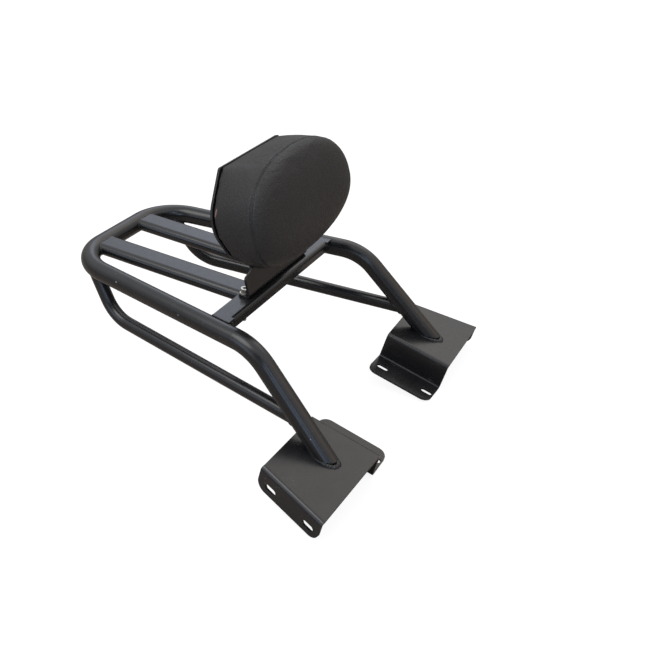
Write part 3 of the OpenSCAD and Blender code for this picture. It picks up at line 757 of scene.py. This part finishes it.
def off_corner_bar(p):
    if p.x < CORNER_X:
        return 1e3
    return math.hypot(math.hypot(p.x - CORNER_X, p.y - (RACK_LEN - CORNER_R)) - CORNER_R, p.z) - TUBE_R


def off_leg(p):
    gap = p - LEG_TOP
    return (gap - LEG_DIR * gap.dot(LEG_DIR)).length - TUBE_R


def off_rear(p):
    return min(off_rear_bar(p), off_corner_bar(p))


def slope_of(off, p):
    step = 0.01
    return Vector([(off(p + Vector(axis) * step) - off(p - Vector(axis) * step)) / (2 * step)
                   for axis in ((1, 0, 0), (0, 1, 0), (0, 0, 1))])


def first_touch(off, start, way, reach):
    """Where a line from start first meets a surface, or None."""
    travelled = 0.0
    while travelled < reach:
        gap = off(start + way * travelled)
        if gap < 0.01:
            return start + way * travelled
        travelled += max(gap * 0.7, 0.01)
    return None


def sideways(way):
    side = way.cross(Vector((0, 0, 1)) if abs(way.z) < 0.9 else Vector((1, 0, 0))).normalized()
    return side, way.cross(side).normalized()


def coped_path(start, end, radius, off, count=48):
    """The bead round a tube that is coped to a bar."""
    way = (end - start).normalized()
    side, other = sideways(way)
    path = []
    for i in range(count):
        turn = 2 * math.pi * i / count
        out = side * math.cos(turn) + other * math.sin(turn)
        hit = first_touch(off, start + out * radius, way, (end - start).length + 30)
        if hit:
            up = out + slope_of(off, hit)
            path.append((hit + up.normalized() * COPE_WELD_OUT, up, COPE_WELD_SIZE))
    return path


def slat_path(count=64):
    """The bead round the rear end of a slat."""
    path, straight = [], (SLAT_W - SLAT_H) / 2
    for i in range(count):
        turn = 2 * math.pi * i / count
        out = Vector((math.cos(turn), 0, math.sin(turn)))
        shift = straight * (1 if out.x > 0 else -1) * min(1.0, abs(out.x) * 1.6)
        at = Vector((SLAT_X + shift + out.x * SLAT_H / 2, RACK_LEN - 60, SLAT_Z + out.z * SLAT_H / 2))
        hit = first_touch(off_rear, at, Vector((0, 1, 0)), 70)
        if hit:
            up = out + slope_of(off_rear, hit)
            path.append((hit + up.normalized() * SLAT_WELD_OUT, up, SLAT_WELD_SIZE))
    return path


def foot_path(count=56):
    """The bead that fills the wedge between the foot of a leg and its mount plate."""
    foot = LEG_TOP + LEG_DIR * LEG_LEN
    over = (PLATE_UP - LEG_DIR * PLATE_UP.dot(LEG_DIR)).normalized()
    low_side = foot - (over - LEG_DIR * (over.dot(PLATE_UP) / LEG_DIR.dot(PLATE_UP))) * TUBE_R
    cut_up = over * math.cos(LEG_CUT) - LEG_DIR * math.sin(LEG_CUT)
    side, other = sideways(LEG_DIR)
    path = []
    for i in range(count):
        turn = 2 * math.pi * i / count
        out = side * math.cos(turn) + other * math.sin(turn)
        start = LEG_TOP + out * TUBE_R
        on_plate = start + LEG_DIR * ((foot - start).dot(PLATE_UP) / LEG_DIR.dot(PLATE_UP))
        on_cut = start + LEG_DIR * ((low_side - start).dot(cut_up) / LEG_DIR.dot(cut_up))
        gap = (on_plate - on_cut).length
        up = out + PLATE_UP
        path.append((on_plate * 0.55 + on_cut * 0.45 - out * (1.2 + gap * 0.2), up, 0.7 + gap * 0.1))
    return path


def rail_x(y):
    return FRONT_HALF + (REAR_HALF - FRONT_HALF) * y / RACK_LEN


def mirrored_path(path):
    return [(Vector((-at.x, at.y, at.z)), Vector((-up.x, up.y, up.z)), size) for at, up, size in path]


def straight_path(ends, count, up, size):
    return [(Vector(at), Vector(up), size) for at in np.linspace(*ends, count)]


def weld_paths():
    """Every bead of the rack: (points with the way out and size, closed)."""
    edge = CROSS_Y + CROSS_DEPTH
    on_rails = [(rail_x(y) - 6.5, y, CROSS_TOP - 0.7) for y in (CROSS_Y + 4, edge - 0.5)]
    on_flange = [(FLANGE_END, CROSS_Y + 1.5, z) for z in (-1.0, 7.0)]
    on_slats = [(SLAT_X + off, edge + 0.8, CROSS_TOP - 2.4) for off in (-SLAT_WELD_HALF, SLAT_WELD_HALF)]
    left = [
        (coped_path(BRACE_LOW, BRACE_TOP, BRACE_R, off_corner_bar), True),
        (coped_path(BRACE_LOW, BRACE_END, BRACE_R, off_leg), True),
        (slat_path(), True),
        (foot_path(), True),
        (straight_path(on_rails, 12, (-0.3, 0, 0.95), 0.5), False),
        (straight_path(on_flange, 8, (0.3, -1, 0), 1.0), False),
        (straight_path(on_slats, 12, (0, 0.7, 0.7), 0.55), False),
    ]
    paths = left + [(mirrored_path(path), closed) for path, closed in left]
    return [([(placed(at), up, size) for at, up, size in path], closed) for path, closed in paths]


class RACK_OT_painted_steel(bpy.types.Operator):
    """Gives the hoop, braces, slats, plates and bracket their black powder coat"""
    bl_idname = "rack.painted_steel"
    bl_label = "Painted Steel"

    def execute(self, context):
        give_material(PAINTED, powder_coat(context.scene.rack_colours))
        return {"FINISHED"}


class RACK_OT_fasteners(bpy.types.Operator):
    """Gives the bolts, washers and nuts their zinc plating"""
    bl_idname = "rack.fasteners"
    bl_label = "Fasteners"

    def execute(self, context):
        give_material(PLATED, zinc_plate(context.scene.rack_colours))
        return {"FINISHED"}


class RACK_OT_base_board(bpy.types.Operator):
    """Gives the pad's base board its plywood"""
    bl_idname = "rack.base_board"
    bl_label = "Base Board"

    def execute(self, context):
        give_material(("pad_board",), plywood(context.scene.rack_colours))
        return {"FINISHED"}


class RACK_OT_backrest_pad(bpy.types.Operator):
    """Makes the padded backrest: a lofted form swollen with Cloth, with its seam drawn in"""
    bl_idname = "rack.backrest_pad"
    bl_label = "Backrest Pad"

    def execute(self, context):
        sizes = context.scene.rack_sizes
        pad = lofted("backrest_pad", pad_rings(sizes.pad_inset / MM))
        swell(pad, sizes)
        clear_of_bracket(pad)
        sink_seam(pad, seam_track(pad), sizes.seam_depth)
        pad.data.materials.clear()
        pad.data.materials.append(vinyl(context.scene.rack_colours))
        for face in pad.data.polygons:
            face.use_smooth = True
        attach(pad, "root")
        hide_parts("pad_cover", "pad_foam")
        return {"FINISHED"}


class RACK_OT_seam_stitches(bpy.types.Operator):
    """Sews the stitches along the pad's front seam"""
    bl_idname = "rack.seam_stitches"
    bl_label = "Seam Stitches"

    def execute(self, context):
        sizes = context.scene.rack_sizes
        track = seam_track(bpy.data.objects["backrest_pad"])
        path = [(at + up * sizes.stitch_thickness * 0.2, up, 1.0) for at, up in track]
        stitches = path_piece("seam_stitches", [(path, True)])
        grow(stitches, follow_tree("Stitches"), {
            "Pitch": sizes.stitch_pitch, "Half Length": sizes.stitch_length / 2,
            "Half Width": sizes.stitch_thickness / 2, "Half Height": sizes.stitch_thickness / 2,
            "Unevenness": 0.08, "Seed": sizes.seed, "Material": sewing_thread(context.scene.rack_colours)})
        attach(stitches, "root")
        return {"FINISHED"}


class RACK_OT_weld_beads(bpy.types.Operator):
    """Lays the rippled weld beads where tubes, slats and plates meet"""
    bl_idname = "rack.weld_beads"
    bl_label = "Weld Beads"

    def execute(self, context):
        sizes = context.scene.rack_sizes
        beads = path_piece("weld_beads", weld_paths())
        grow(beads, follow_tree("Weld Ripples"), {
            "Pitch": sizes.weld_ripple, "Half Length": sizes.weld_ripple * 1.15, "Half Width": sizes.weld_half,
            "Half Height": sizes.weld_half * 0.6, "Unevenness": 0.16, "Seed": sizes.seed,
            "Material": powder_coat(context.scene.rack_colours, "Coated Weld")})
        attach(beads, "root")
        return {"FINISHED"}


class RACK_OT_bolt_threads(bpy.types.Operator):
    """Adds the threads of the two bolts that hang below the cross plate"""
    bl_idname = "rack.bolt_threads"
    bl_label = "Bolt Threads"

    def execute(self, context):
        sizes = context.scene.rack_sizes
        tip = CROSS_TOP + SHEET_T + WASHER_T - BOLT_LEN
        nut = CROSS_TOP - SHEET_T - WASHER_T - NUT_H
        ends = [placed((side * FOOT_BOLT.x, FOOT_BOLT.y, tip + THREAD_IN)) for side in (-1, 1)]
        threads = new_piece("bolt_threads", ends)
        grow(threads, helix_tree(), {
            "Pitch": sizes.thread_pitch, "Radius": THREAD_R, "Length": (nut - tip - 2 * THREAD_IN) * MM,
            "Ridge": THREAD_RIDGE, "Material": bpy.data.materials["Zinc Plate"]})
        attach(threads, "root")
        return {"FINISHED"}


class RACK_OT_stage(bpy.types.Operator):
    """Sets the pale floor, the soft light and the camera of the photograph"""
    bl_idname = "rack.stage"
    bl_label = "Stage"

    def execute(self, context):
        low = CAD_BOX[0].z - FLOOR_BELOW
        corners = [(x * FLOOR_REACH, y * FLOOR_REACH, low) for x, y in ((-1, -1), (1, -1), (1, 1), (-1, 1))]
        floor = new_piece("floor", corners, [(0, 1, 2, 3)])
        floor.data.materials.append(floor_material(context.scene.rack_colours))
        light_world()
        lamp = bpy.data.lights.new("key_light", "AREA")
        lamp.shape, lamp.size, lamp.energy, lamp.color = "DISK", LAMP_WIDTH, LAMP_WATTS, LAMP_COLOUR
        stand = bpy.data.objects.new("key_light", lamp)
        stand.location = LAMP_AT
        stand.rotation_euler = (Vector(LAMP_AIM) - Vector(LAMP_AT)).to_track_quat("-Z", "Y").to_euler()
        bpy.context.scene.collection.objects.link(stand)
        camera = bpy.data.objects.new("camera", bpy.data.cameras.new("camera"))
        camera.data.lens, camera.data.sensor_width = CAMERA_LENS, 36
        turn = Matrix((CAMERA_RIGHT, CAMERA_UP, CAMERA_BACK)).transposed().to_4x4()
        camera.matrix_world = Matrix.Translation(CAMERA_AT) @ turn
        camera.data.clip_start, camera.data.clip_end = 0.01, 100
        bpy.context.scene.collection.objects.link(camera)
        bpy.context.scene.camera = camera
        bpy.context.scene.view_settings.view_transform = "Standard"
        return {"FINISHED"}


def floor_material(colours):
    """A floor that glows white to the camera with a faint shadow, and looks darker in the gloss."""
    material, tree, shader, place = new_material("Pale Floor")
    tone = remap(tree, noise(tree, place, 3.0, 4.0), 0.2, 0.8)
    pale = Vector(colours.floor)
    rays = node(tree, "ShaderNodeLightPath").outputs
    colour = blend(tree, tone, pale * 0.99, pale * 1.01)
    fill(tree, shader, {"Base Color": blend(tree, rays["Is Glossy Ray"], colour, FLOOR_IN_GLOSS),
                        "Roughness": 0.9, "Specular IOR Level": 0.1})
    glow = node(tree, "ShaderNodeEmission", {"Color": (1, 1, 1, 1), "Strength": FLOOR_GLOW})
    share = calc(tree, "MULTIPLY", rays["Is Camera Ray"], FLOOR_GLOW_SHARE)
    both = node(tree, "ShaderNodeMixShader", {0: share, 1: shader.outputs[0], 2: glow.outputs[0]})
    tree.links.new(both.outputs[0], tree.nodes["Material Output"].inputs["Surface"])
    return material


def light_world():
    """A room that lights the object and shows in its gloss, while the camera sees white."""
    world = bpy.data.worlds.new("Room")
    world.use_nodes = True
    tree = world.node_tree
    room = tree.nodes["Background"]
    way = node(tree, "ShaderNodeTexCoord").outputs["Generated"]
    height = node(tree, "ShaderNodeSeparateXYZ", {0: way}).outputs["Z"]
    colour = blend(tree, remap(tree, height, -0.1, 0.9), ROOM_LOW, ROOM_HIGH)
    for toward, inner, outer, light in ROOM:
        near = node(tree, "ShaderNodeVectorMath", {0: way, 1: Vector(toward).normalized()},
                    operation="DOT_PRODUCT").outputs["Value"]
        share = remap(tree, near, math.cos(math.radians(outer)), math.cos(math.radians(inner)))
        colour = blend(tree, share, colour, light)
    feed(tree, room.inputs["Color"], colour)
    white = node(tree, "ShaderNodeBackground", {"Color": (1, 1, 1, 1), "Strength": 1.0})
    seen = node(tree, "ShaderNodeLightPath").outputs["Is Camera Ray"]
    both = node(tree, "ShaderNodeMixShader", {0: seen, 1: room.outputs[0], 2: white.outputs[0]})
    tree.links.new(both.outputs[0], tree.nodes["World Output"].inputs["Surface"])
    bpy.context.scene.world = world


class RACK_PT_panel(bpy.types.Panel):
    """The rack's pieces, sizes and colours"""
    bl_idname = "RACK_PT_panel"
    bl_label = "Luggage Rack"
    bl_space_type = "VIEW_3D"
    bl_region_type = "UI"
    bl_category = "Rack"

    def draw(self, context):
        for operator in STEPS:
            self.layout.operator(operator.bl_idname)
        for group in (context.scene.rack_sizes, context.scene.rack_colours):
            box = self.layout.box()
            for name in group.__annotations__:
                box.prop(group, name)


STEPS = (RACK_OT_painted_steel, RACK_OT_fasteners, RACK_OT_base_board, RACK_OT_backrest_pad,
         RACK_OT_seam_stitches, RACK_OT_weld_beads, RACK_OT_bolt_threads, RACK_OT_stage)
CLASSES = (RackSizes, RackColours, *STEPS, RACK_PT_panel)


def register():
    for made in CLASSES:
        bpy.utils.register_class(made)
    bpy.types.Scene.rack_sizes = PointerProperty(type=RackSizes)
    bpy.types.Scene.rack_colours = PointerProperty(type=RackColours)


def unregister():
    del bpy.types.Scene.rack_colours
    del bpy.types.Scene.rack_sizes
    for made in reversed(CLASSES):
        bpy.utils.unregister_class(made)


def main():
    register()
    bpy.ops.rack.painted_steel()
    bpy.ops.rack.fasteners()
    bpy.ops.rack.base_board()
    bpy.ops.rack.backrest_pad()
    bpy.ops.rack.seam_stitches()
    bpy.ops.rack.weld_beads()
    bpy.ops.rack.bolt_threads()
    bpy.ops.rack.stage()


if __name__ == "__main__":
    main()
